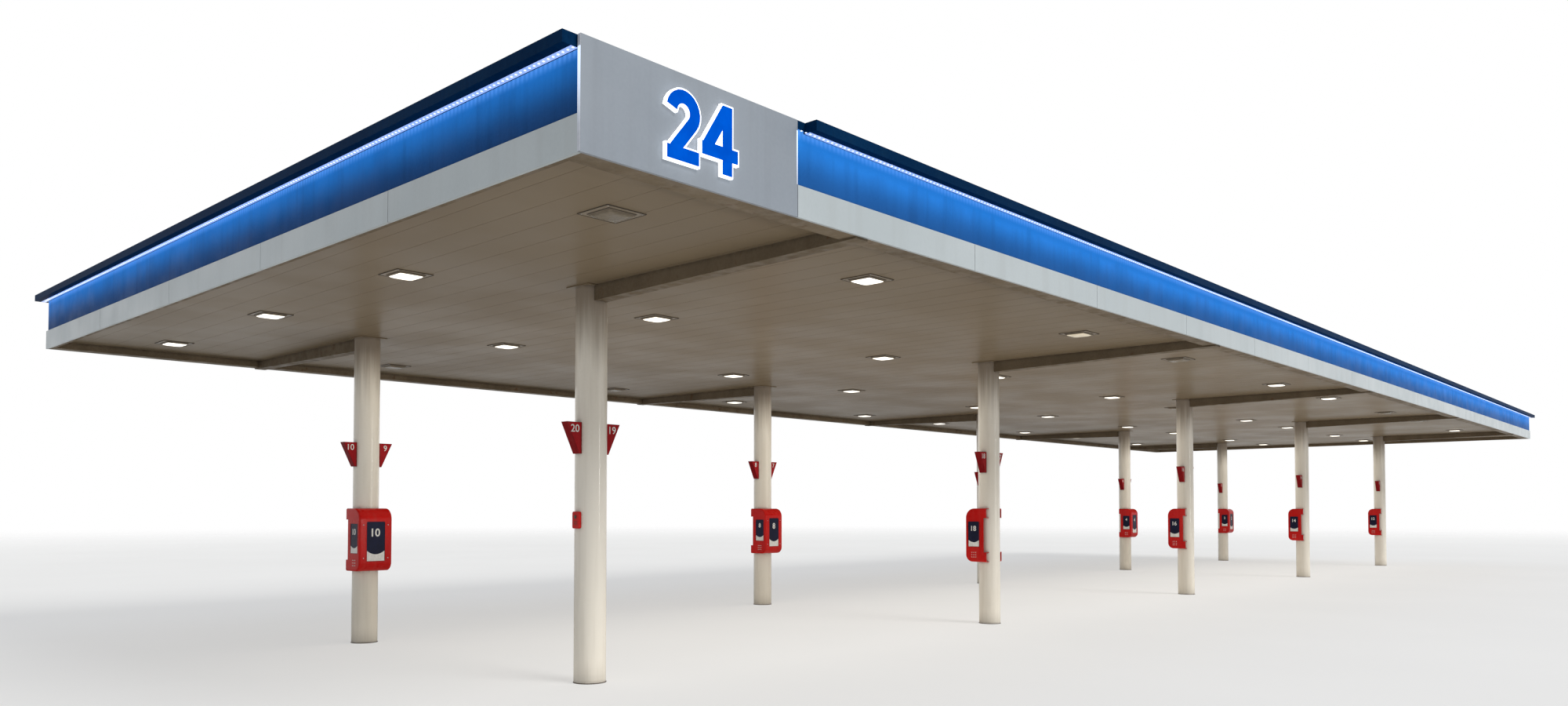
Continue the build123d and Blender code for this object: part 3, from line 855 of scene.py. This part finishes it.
def square_frame(outer, inner, low, high, lip):
    """A square frame whose lower outer edge is cut back by the lip."""
    steps = ((inner, high), (inner, low), (outer - lip, low), (outer, low + lip), (outer, high))
    return ring_loop([rounded_outline(size, size, z) for size, z in steps])


body_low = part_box("light_housings")[0].z
flange_depth = 0.003
flange_screw = 0.103
bezel = square_frame(outer=0.158, inner=0.146, low=body_low - 0.0028, high=body_low, lip=0.0012)
# The dark gaskets also paint the shadow lines where the flange and the body meet the deck.
flange_shadow_gasket = square_frame(
    outer=0.236, inner=0.231, low=soffit - 0.0045, high=soffit, lip=0.0008)
body_shadow_gasket = square_frame(
    outer=0.170, inner=0.1645, low=soffit - 0.0055, high=soffit - flange_depth, lip=0.0008)
screw = turned([(0.0035, 0.0), (0.0035, -0.0012), (0.0020, -0.0022)])
bezels, gaskets_and_shadow_lines, screws = [], [], []
for lamp in all_lamps:
    bezels.append((bezel, lamp))
    gaskets_and_shadow_lines += [(flange_shadow_gasket, lamp), (body_shadow_gasket, lamp)]
    screws += [(screw, lamp @ at(x, y, soffit - flange_depth))
               for x, y in four_corners(flange_screw, flange_screw)]
joined_copies("lamp_bezels", bezels, lamp_enamel)
joined_copies("lamp_gaskets_and_shadow_lines", gaskets_and_shadow_lines, dark_rubber_and_shade)
joined_copies("lamp_screws", screws, zinc_plate)

# %% [markdown]
# The strip under the cornice is a row of diodes in a channel. Each diode is a small bevelled
# block, and the pitch is the same that the blue panel's scallops use, so light and lamp agree.

# %% Diodes in the light strips
diode = block((0.009, 0.009, 0.003), 0.0012, (0, 0, -0.0005))
strip_outset = 0.010
end_gap = 0.030
corner_gap = 0.035
diode_places = []
for bar, facing_y in (("cornice_front", -1), ("cornice_back", 1)):
    start, end = (corner.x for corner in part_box(bar))
    for step in range(int((end - start) / diode_pitch)):
        x = start + diode_pitch * (step + 0.5)
        if abs(x) < half_length - end_gap:
            diode_places.append(at(x, facing_y * (half_width + strip_outset), cornice_low))
for side in (-1, 1):
    for step in range(int(2 * half_width / diode_pitch)):
        y = corner_gap - half_width + diode_pitch * step
        diode_places.append(at(side * (half_length + strip_outset), y, cornice_low))
joined_copies("strip_diodes", [(diode, where) for where in diode_places], diode_glow)

# %% [markdown]
# Numbers are needed on the flags and the posters. Blender's own text object makes clean digits,
# so a helper turns text into a mesh of a given height and thickness that can be copied.

# %% Number templates
digit_share = 0.70


def number_template(text, height, thickness, weight, smoothness):
    """Digits centred on the origin, facing +Z, standing on the surface at Z 0."""
    curve = bpy.data.curves.new("digits", "FONT")
    curve.body = text
    curve.size = height / digit_share
    curve.align_x = "CENTER"
    curve.resolution_u = smoothness
    curve.extrude = thickness / 2
    curve.offset = height * weight
    carrier = bpy.data.objects.new("digits", curve)
    mesh = bpy.data.meshes.new_from_object(carrier)
    shape = bmesh.new()
    shape.from_mesh(mesh)
    bmesh.ops.remove_doubles(shape, verts=shape.verts[:], dist=1e-6)
    bmesh.ops.dissolve_degenerate(shape, dist=1e-5, edges=shape.edges[:])
    xs, ys, zs = zip(*(v.co for v in shape.verts))
    shift = Vector((-(min(xs) + max(xs)) / 2, -(min(ys) + max(ys)) / 2, -min(zs)))
    bmesh.ops.translate(shape, verts=shape.verts[:], vec=shift)
    bpy.data.objects.remove(carrier)
    bpy.data.curves.remove(curve)
    bpy.data.meshes.remove(mesh)
    return settled(shape)


print("number maker ready")

# %% [markdown]
# Every column has two tapering flags. Each face carries a sheet of red vinyl, cut a little
# smaller than the face, with a lane number on it, so that it can be read from either side of the
# canopy.

# %% Vinyl sheet of a flag
flag_low, flag_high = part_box("number_flags")
flag_half = flag_high.y - far_columns[0][1]
tip_high = flag_high.x - far_columns[-1][0]
tip_low = column_radius + 0.014
tip_slope = (tip_high - tip_low) / (flag_high.z - flag_low.z)
vinyl_margin = 0.003
vinyl_thickness = 0.0006


def vinyl_sheet(side):
    """The sheet on one face of a flag, drawn in X and Z about the column, facing -Y at Y 0."""
    near_x = column_radius + vinyl_margin
    low_x = tip_low - vinyl_margin + tip_slope * vinyl_margin
    high_x = tip_high - vinyl_margin - tip_slope * vinyl_margin
    low_z, high_z = flag_low.z + vinyl_margin, flag_high.z - vinyl_margin
    outline = ((near_x, low_z), (low_x, low_z), (high_x, high_z), (near_x, high_z))
    return stacked_rings([[(side * x, y, z) for x, z in outline] for y in (0.0, -vinyl_thickness)])


print("flag half thickness", round(flag_half, 4))

# %% Lane numbers on the flags
near_top_number = 20
far_top_number = 10
number_height = 0.047
number_rise = flag_high.z - 0.040
number_reach = column_radius + 0.046
flag_numbers, flag_sheets = [], []
for row, top_number in ((near_columns, near_top_number), (far_columns, far_top_number)):
    for k, (column_x, column_y) in enumerate(row):
        for side, number in ((-1, top_number - 2 * k), (1, top_number - 1 - 2 * k)):
            digits = number_template(
                str(number), number_height, thickness=0.0012, weight=0.014, smoothness=4)
            for facing_y in (-1, 1):
                face_y = column_y + facing_y * (flag_half + vinyl_thickness / 2)
                spot = (column_x + side * number_reach, face_y, number_rise)
                flag_numbers.append((digits, facing_place(spot, (0, facing_y, 0))))
                half_turn = Matrix.Rotation(math.pi if facing_y > 0 else 0.0, 4, "Z")
                face = at(column_x, column_y + facing_y * flag_half) @ half_turn
                flag_sheets.append((vinyl_sheet(-side * facing_y), face))
joined_copies("flag_vinyl", flag_sheets, vinyl_red)
joined_copies("flag_lane_numbers", flag_numbers, print_white)

# %% [markdown]
# Each poster unit holds a poster in front and a smaller one on each flank, behind a thin
# retaining frame. A picture could be painted as an image, but nothing here needs one: each poster
# is a navy sheet, a white foot with a curved top and a number, all thin sheets of their own.

# %% Places of the poster units
front_size, front_rise = (0.164, 0.330), 0.832
flank_size, flank_rise = (0.132, 0.250), 0.856
unit_reach = 0.180
unit_half = 0.140
flank_offset = 0.088
recess = 0.002
poster_units = [(near_columns[k], 1, near_top_number - 2 * k) for k in range(1, frame_count)]
poster_units += [(far_columns[k], -1, far_top_number - 2 * k) for k in range(frame_count)]


def unit_face(column, facing_y, side, sunk=0.0):
    """The middle of the poster on a unit's front, or on a flank where side is -1 or 1."""
    x, y = column
    if side:
        spot = (x + side * (unit_half - sunk), y + facing_y * flank_offset, flank_rise)
        return facing_place(spot, (side, 0, 0))
    return facing_place((x, y + facing_y * (unit_reach - sunk), front_rise), (0, facing_y, 0))


print("poster units:", len(poster_units))

# %% Templates for the posters
poster_corner = 0.014
foot_rise = 0.17
foot_sag = 0.09


def rounded_sheet(width, height, low_z, high_z):
    """A thin sheet with rounded corners, facing +Z."""
    outlines = [rounded_outline(width, height, z, poster_corner) for z in (low_z, high_z)]
    return stacked_rings(outlines)


def white_foot(width, height, low_z, high_z, steps=8):
    """The lower part of a poster, with a top edge that sags in the middle."""
    bottom = -height / 2
    outline = [(-width / 2, bottom), (width / 2, bottom)]
    for step in range(steps + 1):
        share = 1 - 2 * step / steps
        top = bottom + height * (foot_rise + foot_sag * share ** 2)
        outline.append((share * width / 2, top))
    return stacked_rings([[(x, y, z) for x, y in outline] for z in (low_z, high_z)])


print("sheet templates ready")

# %% Poster sheets
sheet_trim = 0.004
foot_trim_x, foot_trim_y = 0.016, 0.012
number_share = 0.19
number_lift = 0.22
sheet_levels = (-0.0005, 0.0010)
foot_levels = (0.0008, 0.0014)
number_level = 0.0012
sheets, feet, numbers = [], [], []
for column, facing_y, number in poster_units:
    for side in (0, -1, 1):
        width, height = flank_size if side else front_size
        face = unit_face(column, facing_y, side, recess)
        digits = number_template(
            str(number), height * number_share, thickness=0.0005, weight=0.03, smoothness=5)
        sheet = rounded_sheet(width - sheet_trim, height - sheet_trim, *sheet_levels)
        foot = white_foot(width - foot_trim_x, height - foot_trim_y, *foot_levels)
        sheets.append((sheet, face))
        feet.append((foot, face))
        numbers.append((digits, face @ at(0, height * number_lift, number_level)))
joined_copies("poster_sheets", sheets, poster_navy)
joined_copies("poster_feet", feet, print_white)
joined_copies("poster_numbers", numbers, print_white)

# %% [markdown]
# Two plain digits stand on the sign, made as lit signs are: a white box that glows all round,
# with a lit blue face on its front. The halo could be painted on the panel, but it is real here,
# because the sides of the glowing box throw their light on the panel behind.

# %% Strokes of the sign's digits
digit_height = 0.30
digit_stroke = 0.19
bowl_radius = 0.215
bowl_rise = 0.19
turns = [math.radians(degrees) for degrees in range(170, -41, -15)]
bowl = [(bowl_radius * math.cos(turn), bowl_rise + bowl_radius * math.sin(turn)) for turn in turns]
digit_paths = {"2": [[*bowl, (-0.17, -0.36)], [(-0.30, -0.405), (0.29, -0.405)]],
               "4": [[(0.13, 0.50), (0.13, -0.50)], [(0.105, 0.435), (-0.27, -0.16)],
                     [(-0.37, -0.20), (0.34, -0.20)]]}


def stroke(path, width, overrun, low_z, high_z):
    """A flat bar that follows a path, lengthened at both ends."""
    line = [Vector(point) for point in path]
    line[0] = line[0] - (line[1] - line[0]).normalized() * overrun
    line[-1] = line[-1] + (line[-1] - line[-2]).normalized() * overrun
    left, right = [], []
    for i, point in enumerate(line):
        ahead = (line[min(i + 1, len(line) - 1)] - line[max(i - 1, 0)]).normalized()
        sideways = Vector((-ahead.y, ahead.x)) * width / 2
        left.append(point + sideways)
        right.append(point - sideways)
    outline = [(p.x * digit_height, p.y * digit_height) for p in left + right[::-1]]
    return stacked_rings([[(x, y, z) for x, y in outline] for z in (low_z, high_z)])


print("strokes:", {figure: len(paths) for figure, paths in digit_paths.items()})

# %% Sign digits
sign_middle = (sign_end - half_length) / 2
sign_height = (fascia_low + fascia_top) / 2
digit_shifts = {"2": -0.37, "4": 0.35}
digit_depth = 0.018
face_depth = 0.003
box_rim = 0.026
stroke_step = 0.0004


def digit_strokes(rim, low_z, high_z):
    """Both digits, with each stroke grown by the rim and a hair higher than the one before."""
    parts = []
    for figure, shift in digit_shifts.items():
        spot = (sign_middle + shift * digit_height, sign_front, sign_height)
        where = facing_place(spot, (0, -1, 0))
        for n, path in enumerate(digit_paths[figure]):
            bar = stroke(path, digit_stroke + 2 * rim, rim, low_z, high_z + stroke_step * n)
            parts.append((bar, where))
    return parts


halo_glow = lens_finish(
    "halo_glow", (0.9, 0.9, 0.95), [(0.90, 0.95, 1.0), (0.97, 0.98, 1.0)], 1.6)
face_blue = lens_finish(
    "face_blue", (0.0, 0.045, 0.28), [(0.0, 0.055, 0.42), (0.0, 0.075, 0.50)], 0.9, 0.0)
boxes = digit_strokes(box_rim, 0.0, digit_depth)
faces = digit_strokes(0.0, digit_depth, digit_depth + face_depth)
joined_copies("sign_digit_boxes", boxes, halo_glow)
joined_copies("sign_digit_faces", faces, face_blue)

# %% [markdown]
# A narrow white edge closes each side of the sign, and the light strips beside it shine along it.
# One finish carries that light: it is strongest below the cornice bar and fades down to the white
# band.

# %% Lit edge finish
edge_lit, tree, shader = new_finish("edge_lit", Emission_Strength=1.0)
rise = split(tree, place(tree))[2]
light_starts = band_top - 0.10
light_ends = cornice_low + 0.004
below_bar = remap(tree, rise, cornice_low, light_ends, 1.0, 0.0)
reached = product(tree, remap(tree, rise, light_starts, cornice_low), below_bar)
feed(tree, shader, Base_Color=clouded(tree, 9.0, 0.3, (0.50, 0.52, 0.56), (0.58, 0.60, 0.64)),
     Emission_Color=mix_colours(tree, reached, (0.01, 0.015, 0.03), (0.60, 0.74, 0.98)),
     Roughness=glossed(tree, 20, 0.35, 0.5), Normal=peeled(tree, 240, 0.08))

# %% Edges of the sign
edge_thickness = 0.0020
edge_bevel = 0.0006
edge_outset = 0.0008
corner_width, corner_setback = 0.0170, 0.009
inner_width, inner_setback = 0.0070, 0.0038
corner_height = fascia_top - fascia_low - 0.004
inner_height = cornice_low - band_top
corner_edge = block((edge_thickness, corner_width, corner_height), edge_bevel)
inner_edge = block((inner_width, edge_thickness, inner_height), edge_bevel)
corner_spot = at(-half_length - edge_outset, sign_front + corner_setback, sign_height)
inner_middle = (band_top + cornice_low) / 2
inner_spot = at(sign_end - inner_setback, sign_front - edge_outset, inner_middle)
edges = [(corner_edge, corner_spot), (inner_edge, inner_spot)]
joined_copies("sign_edges", edges, edge_lit)

# %% [markdown]
# From below, the ceiling looks like one sheet: the groove between two pans is filled with sealant
# and painted over. Each filling is a long thin strip that sits a hair above the pans' faces.

# %% Sealant in the pan joints
pan_count = 110
groove = 0.003
filling_depth = 0.0025
filling_rise = 0.0018
deck_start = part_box("deck_section_1")[0].x
deck_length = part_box("deck_section_5")[1].x - deck_start
filling_length = 2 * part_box("deck_section_1")[1].y - 0.004
joints = [deck_start + deck_length * pan / pan_count for pan in range(1, pan_count)]
filling = block((groove, filling_length, filling_depth), 0.0006, (0, 0, filling_rise))
fillings = [(filling, at(x, 0, soffit)) for x in joints]
joined_copies("joint_sealant", fillings, deck_enamel)

# %% [markdown]
# Above the deck, each standing seam is held to the purlins by clips. They are only seen from
# above, but the roof is seen from above too, so each is a small folded saddle over the seam.

# %% Seam clips
clip = block((0.012, 0.026, 0.006), 0.0015)
first_purlin = 0.59
purlin_pitch = 1.18
clip_offset = 0.05
clip_rise = seam_top - 0.001
purlins = [side * (first_purlin + purlin_pitch * line) for side in (-1, 1) for line in range(3)]
clips = [(clip, at(x, y + offset, clip_rise))
         for x in joints for y in purlins for offset in (-clip_offset, clip_offset)]
joined_copies("seam_clips", clips, zinc_plate)

# %% [markdown]
# A thin bead holds each poster in its recess, with a screw in each corner of the unit's face, and
# the foot has rows of moulded dots. Such marks are small, but they tell the eye how big the unit
# is.

# %% Templates for the poster units
bead_width = 0.004
bead_rise = 0.0014


def poster_bead(width, height):
    """A rounded rectangular frame that stands round a poster."""
    steps = ((0, -recess), (0, bead_rise), (bead_width, bead_rise), (bead_width, -recess))
    outlines = []
    for inset, z in steps:
        across, up = width - 2 * inset, height - 2 * inset
        outlines.append(rounded_outline(across, up, z, poster_corner - inset))
    return ring_loop(outlines)


cap_screw = turned([(0.0042, 0.0), (0.0042, 0.0010), (0.0026, 0.0022)])
dot = turned([(0.0045, 0.0), (0.0040, 0.0012), (0.0018, 0.0020)], 8)
print("poster templates ready")

# %% Poster beads, screws and moulded dots
screw_x, screw_y = 0.104, 0.135
dot_pitch = 0.022
dots_top = -0.176
bead_parts, unit_screws, foot_dots = [], [], []
for column, facing_y, _ in poster_units:
    front_face = unit_face(column, facing_y, 0)
    bead_parts.append((poster_bead(*front_size), front_face))
    unit_screws += [(cap_screw, front_face @ at(x, y)) for x, y in four_corners(screw_x, screw_y)]
    for side in (-1, 1):
        flank = unit_face(column, facing_y, side)
        bead_parts.append((poster_bead(*flank_size), flank))
        foot_dots += [(dot, flank @ at(x * dot_pitch, dots_top - y * dot_pitch))
                      for x in (-1, 0, 1) for y in range(3)]
joined_copies("poster_beads", bead_parts, unit_red)
joined_copies("unit_screws", unit_screws, zinc_plate)
joined_copies("unit_foot_dots", foot_dots, print_white)

# %% [markdown]
# The call box has a round button with speaker slots below it. The slots could be cut into the box,
# but dark bars that stand a hair proud, painted as the shade inside the slots, look the same and
# leave the frame's mesh alone.

# %% Call box button and painted slot shade
box_low, box_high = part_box("call_box")
seat = 0.0002
box_spot = (box_low.x + seat, (box_low.y + box_high.y) / 2, (box_low.z + box_high.z) / 2)
box_face = facing_place(box_spot, (-1, 0, 0))
button = turned([(0.012, 0.0), (0.012, 0.0016), (0.009, 0.0030)], 20)
button_rise = 0.020
# Each dark bar is painted shade where a slot would be.
slot_shade_bar = block((0.030, 0.0024, 0.0012), 0.0004)
first_slot = -0.008
slot_pitch = 0.007
buttons = [(button, box_face @ at(0, button_rise))]
slots = [(slot_shade_bar, box_face @ at(0, first_slot - slot_pitch * n)) for n in range(4)]
joined_copies("call_button", buttons, dark_rubber_and_shade)
joined_copies("call_slot_shades", slots, dark_rubber_and_shade)

# %% [markdown]
# Each column stands in a bead of dark sealant. Four bolts clamp its cap to the beam above, and
# rivets hold the flanges of the troughs. They are modelled, since a bump would be lost from the
# side.

# %% Foot sealant and bolts
all_columns = near_columns + far_columns
bead_steps = ((-0.001, 0.0), (0.004, 0.0), (0.003, 0.003), (-0.001, 0.006))
foot_bead = ring_loop([round_outline(column_radius + out, z, 32) for out, z in bead_steps])
foot_beads = [(foot_bead, at(x, y)) for x, y in all_columns]
joined_copies("foot_sealant", foot_beads, dark_rubber_and_shade)
beam_flange = 0.008
bolt_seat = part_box("column_near_1")[1].z + beam_flange
bolt_x, bolt_y = 0.034, 0.09
bolt = turned([(0.011, 0.0), (0.011, 0.006), (0.009, 0.0075)], 6)
bolts = [(bolt, at(x + shift_x, y + shift_y, bolt_seat))
         for x, y in all_columns for shift_x, shift_y in four_corners(bolt_x, bolt_y)]
joined_copies("beam_bolts", bolts, zinc_plate)

# %% Rivets of the troughs
trough_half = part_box("drain_troughs")[1].x - near_columns[-1][0]
first_rivet = 1.70
rivet_pitch = 0.16
rivet_count = 12
rivet_rise = soffit - 0.012
rivet = turned([(0.0035, 0.0), (0.0030, 0.0010), (0.0012, 0.0016)], 8)
rivets = []
for column_x, _ in near_columns:
    for side in (-1, 1):
        for side_y in (-1, 1):
            for n in range(rivet_count):
                rivet_y = side_y * (first_rivet + rivet_pitch * n)
                spot = (column_x + side * trough_half, rivet_y, rivet_rise)
                rivets.append((rivet, facing_place(spot, (side, 0, 0))))
joined_copies("trough_rivets", rivets, trough_shaded_brown)

# %% [markdown]
# The studio has a pale floor, a white surround and soft light. The world gives an even and
# slightly cool level to everything, and the camera sees it as white paper whatever that level is.

# %% World
scene.view_settings.view_transform = "Standard"
world = bpy.data.worlds.new("studio")
world.use_nodes = True
scene.world = world
sky = world.node_tree
sky.nodes.clear()
rays = add_node(sky, "ShaderNodeLightPath").outputs
seen = maths(sky, "MAXIMUM", rays["Is Camera Ray"], rays["Is Transmission Ray"])
seen = maths(sky, "MAXIMUM", seen, rays["Is Glossy Ray"])
cool_level = {"Color": (0.93, 0.96, 1.0, 1), "Strength": 0.48}
white_level = {"Color": (1, 1, 1, 1), "Strength": 1.0}
level = add_node(sky, "ShaderNodeBackground", cool_level).outputs[0]
white = add_node(sky, "ShaderNodeBackground", white_level).outputs[0]
shown = add_node(sky, "ShaderNodeMixShader", {0: seen, 1: level, 2: white}).outputs[0]
add_node(sky, "ShaderNodeOutputWorld", {0: shown})
print("world level set")

# %% [markdown]
# The floor is a plain pale sheet. Its far edge would show as a line, so it fades to clear with
# distance, and a part of it is lifted to white for the camera alone, which leaves the soft
# shadows.

# %% Floor
floor_mesh = bpy.data.meshes.new("floor")
floor_reach = 90
floor_points = [(-floor_reach, -floor_reach, 0), (floor_reach, -floor_reach, 0),
                (floor_reach, floor_reach, 0), (-floor_reach, floor_reach, 0)]
floor_mesh.from_pydata(floor_points, [], [(0, 1, 2, 3)])
floor = bpy.data.objects.new("floor", floor_mesh)
scene.collection.objects.link(floor)
print("floor laid,", 2 * floor_reach, "m wide")

# %% Floor paint
floor_paint, tree, shader = new_finish("floor_paint", Roughness=0.9, Specular_IOR_Level=0.1)
fade_starts, fade_ends = 15.0, 60.0
paper_share = 0.45
pale = clouded(tree, 0.3, 0.1, (0.80, 0.80, 0.79), (0.83, 0.83, 0.82))
feed(tree, shader, Base_Color=pale)
distance = vector_maths(tree, "LENGTH", place(tree), (0, 0, 0), "Value")
clear = add_node(tree, "ShaderNodeBsdfTransparent").outputs[0]
camera_ray = add_node(tree, "ShaderNodeLightPath").outputs["Is Camera Ray"]
lift = product(tree, camera_ray, paper_share)
paper = add_node(tree, "ShaderNodeEmission", {"Color": (1, 1, 1, 1)}).outputs[0]
lifted = {0: lift, 1: shader.outputs[0], 2: paper}
lifted = add_node(tree, "ShaderNodeMixShader", lifted).outputs[0]
faded = {0: remap(tree, distance, fade_starts, fade_ends), 1: lifted, 2: clear}
faded = add_node(tree, "ShaderNodeMixShader", faded).outputs[0]
tree.links.new(faded, tree.nodes["Material Output"].inputs["Surface"])
floor_mesh.materials.append(floor_paint)

# %% [markdown]
# Four soft lamps shape the canopy. A wide sun from the front right makes the front brighter than
# the end. A broad lamp at floor level lights the ceiling, and a long one between the rows lights
# the columns. A tall soft box at the right does little but draw one upright highlight down each
# glossy column.

# %% Lamps of the studio


def facing_turn(direction):
    """The turn of a lamp that stands in that direction and shines back from it."""
    return Vector(direction).to_track_quat("Z", "Y").to_euler()


def soft_box(name, width, height, energy, colour, where):
    """A broad soft lamp that isn't seen by the camera. It shines down until it is turned."""
    data = bpy.data.lights.new(name, "AREA")
    data.shape = "RECTANGLE"
    data.size = width
    data.size_y = height
    data.energy = energy
    data.color = colour
    lamp = bpy.data.objects.new(name, data)
    lamp.location = where
    lamp.visible_camera = False
    scene.collection.objects.link(lamp)
    return lamp


key_data = bpy.data.lights.new("key", "SUN")
key_data.energy = 1.9
key_data.angle = math.radians(30)
key_data.color = (1.0, 0.98, 0.95)
key = bpy.data.objects.new("key", key_data)
key.rotation_euler = facing_turn((0.25, -1.0, 0.75))
scene.collection.objects.link(key)
bounce = soft_box("bounce", 20, 6, 40, (1.0, 0.94, 0.85), (0, 0, 0.05))
bounce.rotation_euler = (math.pi, 0, 0)
bounce.visible_glossy = False
fill_height = fascia_low - 0.02
canopy_fill = soft_box("canopy_fill", 20, 2.3, 150, (1.0, 0.95, 0.86), (0, 0, fill_height))
canopy_fill.visible_glossy = False
side_box = soft_box("side_box", 1.2, 3.6, 220, (1.0, 0.98, 0.94), (2.0, -24.0, 1.9))
side_box.rotation_euler = facing_turn((0, -1, 0))
print("studio lit")
